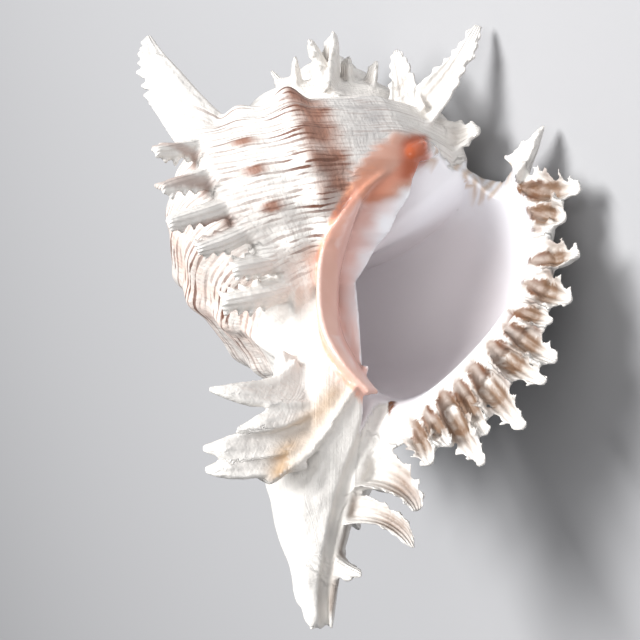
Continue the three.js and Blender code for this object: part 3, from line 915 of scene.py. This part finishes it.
def body_tint(places, turn, row, inside, bare, mottle):
    """Chalk, the grey flat with painted shade, the main rib's brown side, spots on the cords, the flush and
    the stain, partly painted shade.
    """
    tint = np.tile(CHALK, (len(places), 1)) * (1 + 0.05 * mottle[:, None])
    # painted shade over the flat's own grey tone beside the main rib
    shaded = bell(turn - SHADED_TURN, SHADED_WIDTH) * between(row, *SHADED_ROWS)
    tint = blend(tint, GREY_AND_SHADE, 0.85 * bare * shaded * (0.8 + 0.2 * mottle))
    cord = np.cos(2 * math.pi * row)
    tint = blend(tint, PATCH, bare * rib_lee(turn, row) * (0.85 + 0.15 * cord) * (1.05 + 0.2 * mottle))
    spots = np.maximum(bell(turn - SPOTTED_RIB, SPOT_WIDTH), 0.7 * bell(turn - SPOTTED_VARIX, SPOT_WIDTH))
    spots *= smooth(cord, 0.4, 0.9) * between(row, *SPOT_ROWS)
    tint = blend(tint, PATCH, 1.2 * (1 - inside) * spots)
    flushed = bell(turn - FLUSHED_TURN, FLUSHED_WIDTH) * between(row, *FLUSHED_ROWS)
    tint = blend(tint, PEACH, 0.3 * bare * flushed * (0.8 + 0.4 * mottle))
    # ochre stain and painted shade along the joint of the canal arm and the canal
    away, _ = distance(places, STAIN_AND_SHADE_PATH)
    return blend(tint, OCHRE, 0.8 * bell(away, STAIN_AND_SHADE_WIDTH) * (1 - inside))


def hollow_tint(tint, places, inside, mottle):
    """Porcelain with painted shade: darker toward mauve going in, and behind the inner lip."""
    azimuth = np.degrees(np.arctan2(places[:, 1], places[:, 0]))
    going_in = ((azimuth - LIP_AZIMUTH + HOLLOW_AHEAD) % 360 - HOLLOW_AHEAD) / 360
    # painted shade going in, and painted shadow behind the inner lip
    painted_shade = smooth(going_in + 0.004 * mottle, *HOLLOW_SHADE_TURNS)
    lip_shadow = smooth(places[:, 1] + LIP_SHADOW_SLOPE * places[:, 0], *LIP_SHADOW_DEPTHS)
    painted_shade = np.maximum(painted_shade, lip_shadow * (1 - smooth(places[:, 0], *LIP_SHADOW_END)))
    tint = blend(tint, PORCELAIN, inside)
    return blend(tint, SHADED_MAUVE, 0.85 * inside * painted_shade)


def inner_lip_tint(tint, places, turn, inside, on_frond, mottle):
    """Orange on the inner lip and its tooth, porcelain beside them with painted shade deeper down, and the
    share that is polished.
    """
    across, depth = places[:, 0], -places[:, 2]
    away, along = distance(places, INNER_LIP)
    band = 1 - smooth(away, *INNER_LIP_BAND)
    tint = blend(tint, ORANGE, 0.8 * band * (1 - 0.25 * along) * smooth(along, 0.05, 0.2))
    left = spline(INNER_LIP, along * (len(INNER_LIP) - 1))[:, 0] - across
    tint = blend(tint, PEACH, band * smooth(left, *INNER_LIP_LEFT))
    away, _ = distance(places, CALLUS_PATH)
    callus = (1 - smooth(away + mottle, *CALLUS_REACH)) * (1 - smooth(across, *CALLUS_END))
    tint = blend(tint, CALLUS, 0.8 * callus)
    away, _ = distance(places, CHANNEL_PATH)
    channel = 1 - smooth(away, *CHANNEL_REACH)
    tint = blend(tint, PORCELAIN, channel * (1 - callus))

    right = across - np.interp(depth, [-place[2] for place in INNER_LIP], [place[0] for place in INNER_LIP])
    parietal = smooth(right, 0, 2) * (turn < PARIETAL_OLDEST) * (places[:, 1] < PARIETAL_FRONT)
    parietal *= between(depth, *PARIETAL_DEPTHS) * (1 - inside) * (1 - on_frond)
    tint = blend(tint, PORCELAIN, parietal * (1 - callus))
    # painted shade, deeper down the parietal wall
    tint = blend(tint, SHADED_MAUVE, parietal * smooth(depth, *PARIETAL_SHADE_DEPTHS))
    tint = blend(tint, ORANGE, 0.7 * parietal * (1 - smooth(right + mottle, *PARIETAL_WARM)))
    away, _ = distance(places, TOOTH)
    tint = blend(tint, RUST, 0.95 * (1 - smooth(away, *TOOTH_REACH)) * between(across, *TOOTH_ACROSS))
    return tint, np.max([band, callus, channel, parietal], axis=0)


def frond_tint(tint, places, marks, folded, mottle):
    """Tan gutters and folds with darker sides, partly painted shade in their hollows, the edge of the slit,
    and pale tips.
    """
    # tan in the gutters, partly painted shade
    tint = blend(tint, TAN, marks["groove"] * (0.8 + 0.2 * np.sin(16 * marks["vein"])))
    tint = blend(tint, DARK_TAN, 0.6 * marks["edge"] * (0.8 + 0.4 * mottle))
    # tan and dark tan in the lip's folds, partly painted shade
    on_lip = folded * (1 - marks["crest"]) * (places[:, 0] > LIP_LEFT_END) * (places[:, 2] > LIP_LOWEST)
    tint = blend(tint, TAN, on_lip * (0.7 + 0.25 * mottle))
    sides = 0.35 + 0.65 * smooth(np.abs(marks["vein"] + 0.1 * mottle), 0.12, 0.4)
    tint = blend(tint, DARK_TAN, on_lip * (1 - 0.8 * marks["past_foot"]) * sides)
    away, _ = distance(places, FLANGE_PATH)
    tint = blend(tint, TAN, 0.7 * bell(away, FLANGE_WIDTH))
    return blend(tint, CHALK, 0.5 * marks["crest"])


def upper_lip_tint(tint, turn, row, bare, on_frond):
    """Porcelain and ochre pleats on the lip above the shoulder, and the share that is polished."""
    rim = smooth(turn, *RIM_TURNS) * (1 - smooth(row, *RIM_END_ROWS)) * bare
    tint = blend(tint, PORCELAIN, rim)
    edge = turn + LIP_NOTCH * bell(row - LIP_NOTCH_ROW, LIP_NOTCH_ROWS)
    pleats = smooth(edge, *PLEAT_TURNS) * (1 - smooth(row, *PLEAT_END_ROWS))
    pleats = pleats * (0.5 + 0.5 * np.sin(PLEAT_WAVE * row))
    return blend(tint, OCHRE, 0.6 * pleats * (1 - on_frond)), rim


def line_strength(places, turn, row):
    """Spiral lines: strong on the ribs, on the brown side of the main rib and at the left edge."""
    ribbed = [
        rise / LINED_RIB_HEIGHT * bell(turn - rib - LINED_RIB_PAST, LINED_RIB_WIDTH) for rib, rise in RIBS
    ]
    ribbed += [1.1 * bell(turn - FLUSHED_TURN, FLUSHED_WIDTH), rib_lee(turn, row)]
    lines = (0.2 + 0.8 * np.max(ribbed, axis=0)) * between(-places[:, 2], *LINED_DEPTHS)
    return lines * (0.7 + 0.3 * np.cos(2 * math.pi * row)) * (1 - smooth(row, *LINED_END_ROWS))


def paint(mesh, places, opening, furrows, fronds):
    """Colour, line strength and gloss at each corner, from where it lies on the shell."""
    turn, row = wall_position(places)
    inside = 1 - smooth(np.abs(opening), *CUT_REACH)
    folded = 1 - smooth(np.abs(furrows), *CUT_REACH)
    mottle = waves(places, MOTTLE_SIZE, MOTTLE_SEED)
    marks = frond_marks(places, fronds)
    on_frond = marks["on"]
    bare = (1 - inside) * (1 - on_frond)
    tint = body_tint(places, turn, row, inside, bare, mottle)
    tint = hollow_tint(tint, places, inside, mottle)
    tint, polished = inner_lip_tint(tint, places, turn, inside, on_frond, mottle)
    tint = frond_tint(tint, places, marks, folded, mottle)
    tint, rim = upper_lip_tint(tint, turn, row, bare, on_frond)
    polished = np.maximum(polished, rim)
    lines = bare * (1 - polished) * line_strength(places, turn, row)

    gloss = np.clip(np.maximum(inside, polished), 0, 1)
    layers = {"turn": turn, "row": row, "lines": np.clip(lines, 0, 1), "gloss": gloss}
    layers |= {"frond": on_frond, "vein": marks["vein"]}
    for name, values in layers.items():
        layer = mesh.attributes.new(name, "FLOAT", "POINT")
        layer.data.foreach_set("value", values.astype(np.float32))
    colours = mesh.attributes.new("tint", "FLOAT_COLOR", "POINT")
    rgba = np.concatenate([np.clip(tint, 0, 1), np.ones((len(tint), 1))], 1)
    colours.data.foreach_set("color", rgba.astype(np.float32).ravel())


# Material

class Shader:
    """Short ways to add and join the nodes of one material."""

    def __init__(self, name):
        self.material = bpy.data.materials.new(name)
        self.material.use_nodes = True
        self.nodes = self.material.node_tree.nodes
        self.links = self.material.node_tree.links
        self.surface = self.nodes["Principled BSDF"]

    def feed(self, socket, value):
        if isinstance(value, bpy.types.NodeSocket):
            self.links.new(value, socket)
        else:
            socket.default_value = value

    def value(self, name, output="Fac"):
        node = self.nodes.new("ShaderNodeAttribute")
        node.attribute_name = name
        return node.outputs[output]

    def calc(self, operation, first, second=0.0):
        node = self.nodes.new("ShaderNodeMath")
        node.operation = operation
        self.feed(node.inputs[0], first)
        self.feed(node.inputs[1], second)
        return node.outputs[0]

    def times(self, first, second):
        return self.calc("MULTIPLY", first, second)

    def ramp(self, value, low, high, start=0.0, end=1.0):
        node = self.nodes.new("ShaderNodeMapRange")
        node.interpolation_type = "SMOOTHSTEP"
        limits = {"From Min": low, "From Max": high, "To Min": start, "To Max": end}
        for name, limit in limits.items():
            node.inputs[name].default_value = limit
        self.feed(node.inputs["Value"], value)
        return node.outputs[0]

    def stretch(self, turn, row, scales):
        """A place in a flat picture of the coil, for noise that is longer one way than the other."""
        node = self.nodes.new("ShaderNodeCombineXYZ")
        for socket, value, scale in zip(node.inputs, (turn, row), scales):
            self.feed(socket, self.times(value, scale))
        return node.outputs[0]

    def noise(self, place, scale, detail):
        node = self.nodes.new("ShaderNodeTexNoise")
        self.feed(node.inputs["Vector"], place)
        node.inputs["Scale"].default_value = scale
        node.inputs["Detail"].default_value = detail
        return node.outputs["Fac"]

    def mix(self, share, first, second):
        node = self.nodes.new("ShaderNodeMix")
        node.data_type = "RGBA"
        self.feed(node.inputs["Factor"], share)
        self.feed(node.inputs[6], first)
        self.feed(node.inputs[7], second)
        return node.outputs[2]


def shell_material():
    shader = Shader("shell")
    turn, row = shader.value("turn"), shader.value("row")
    gloss, frond = shader.value("gloss"), shader.value("frond")
    object_place = shader.nodes.new("ShaderNodeTexCoord").outputs["Object"]

    streaks = shader.noise(shader.stretch(turn, row, STREAK_STRETCH), 1, 4)
    wave = shader.calc("SINE", shader.times(row, 2 * math.pi * LINES_PER_ROW))
    drawn = shader.calc("ADD", shader.times(wave, LINE_WAVE), streaks)
    drawn = shader.ramp(drawn, *LINE_LIMITS)
    drawn = shader.times(drawn, shader.value("lines"))
    colour = shader.mix(drawn, shader.value("tint", "Color"), (*BROWN, 1))
    shader.feed(shader.surface.inputs["Base Color"], colour)
    roughness = shader.ramp(gloss, 0, 1, CHALK_ROUGHNESS, GLOSS_ROUGHNESS)
    shader.feed(shader.surface.inputs["Roughness"], roughness)

    chalky = shader.calc("SUBTRACT", 1.0, gloss)
    threads = shader.times(wave, THREAD_RELIEF)
    threads = shader.times(threads, shader.calc("SUBTRACT", 1.0, frond))
    veins = shader.calc("SINE", shader.times(shader.value("vein"), VEINS))
    veins = shader.times(shader.times(veins, frond), VEIN_RELIEF)
    grain = shader.times(shader.noise(object_place, GRAIN_SCALE, 6), GRAIN_RELIEF)
    growth = shader.noise(shader.stretch(turn, row, GROWTH_STRETCH), 1, 2)
    growth = shader.times(growth, GROWTH_RELIEF)
    height = shader.calc("ADD", shader.calc("ADD", threads, veins), shader.calc("ADD", grain, growth))
    height = shader.times(height, chalky)
    bump = shader.nodes.new("ShaderNodeBump")
    bump.inputs["Distance"].default_value = 1
    bump.inputs["Strength"].default_value = BUMP_STRENGTH
    shader.feed(bump.inputs["Height"], height)
    shader.feed(shader.surface.inputs["Normal"], bump.outputs["Normal"])
    return shader.material


# Stage

def aim(target_object, place, ahead, up):
    right = unit(np.cross(ahead, up))
    over = np.cross(right, ahead)
    rows = [[right[k], over[k], -ahead[k], place[k]] for k in range(3)]
    target_object.matrix_world = Matrix(rows + [[0, 0, 0, 1]])


def photo_view():
    """Place, direction of view and up of the photo's camera, in the row frame."""
    tilt = math.radians(CAMERA_TILT)
    back = np.array([0, -math.cos(tilt), -math.sin(tilt)])
    up = unit(np.array([0, 0, 1]) - back * back[2])
    right = np.cross(up, back)
    focal = IMAGE_SIZE / 2 / math.tan(math.radians(CAMERA_FIELD) / 2)
    across = (IMAGE_SIZE / 2 - TARGET_PIXEL[0]) / focal
    over = (TARGET_PIXEL[1] - IMAGE_SIZE / 2) / focal
    ahead = unit(-back + right * across + up * over)
    place = np.array(CAMERA_TARGET) + back * CAMERA_DISTANCE
    turn = rest_turn()
    return to_row(place), turn @ ahead, turn @ up


def make_camera():
    camera = add_object("camera", bpy.data.cameras.new("camera"))
    camera.data.angle = math.radians(CAMERA_FIELD)
    camera.data.clip_start = CAMERA_NEAREST
    aim(camera, *photo_view())
    bpy.context.scene.camera = camera


def make_light(name, right, up, back, size, power):
    _, ahead, over = photo_view()
    sideways = unit(np.cross(ahead, over))
    middle = to_row(np.array(CAMERA_TARGET, float))
    spot = middle + right * sideways + up * over - back * ahead
    lamp = add_object(name, bpy.data.lights.new(name, "AREA"))
    lamp.data.size = size
    lamp.data.energy = power
    aim(lamp, spot, unit(middle - spot), np.array(LIGHT_TOP))


def make_floor():
    mesh = bpy.data.meshes.new("floor")
    sides = [(-1, -1), (1, -1), (1, 1), (-1, 1)]
    mesh.from_pydata([(FLOOR_REACH * x, FLOOR_REACH * y, 0) for x, y in sides], [], [(0, 1, 2, 3)])
    floor = add_object("floor", mesh)
    material = bpy.data.materials.new("floor")
    material.use_nodes = True
    surface = material.node_tree.nodes["Principled BSDF"]
    surface.inputs["Base Color"].default_value = FLOOR_COLOUR
    surface.inputs["Roughness"].default_value = FLOOR_ROUGHNESS
    mesh.materials.append(material)


def make_world():
    world = bpy.data.worlds.new("studio")
    world.use_nodes = True
    sky = world.node_tree.nodes["Background"]
    sky.inputs["Color"].default_value = SKY_COLOUR
    sky.inputs["Strength"].default_value = SKY_STRENGTH
    bpy.context.scene.world = world


make_camera()
make_floor()
make_world()
make_light("key", *KEY_LIGHT)
make_light("fill", *FILL_LIGHT)
bpy.context.scene.view_settings.view_transform = "Standard"

shell = make_shell(all_fronds())
shell.data.materials.clear()
shell.data.materials.append(shell_material())
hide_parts("murex_shell")
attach(shell, "root")
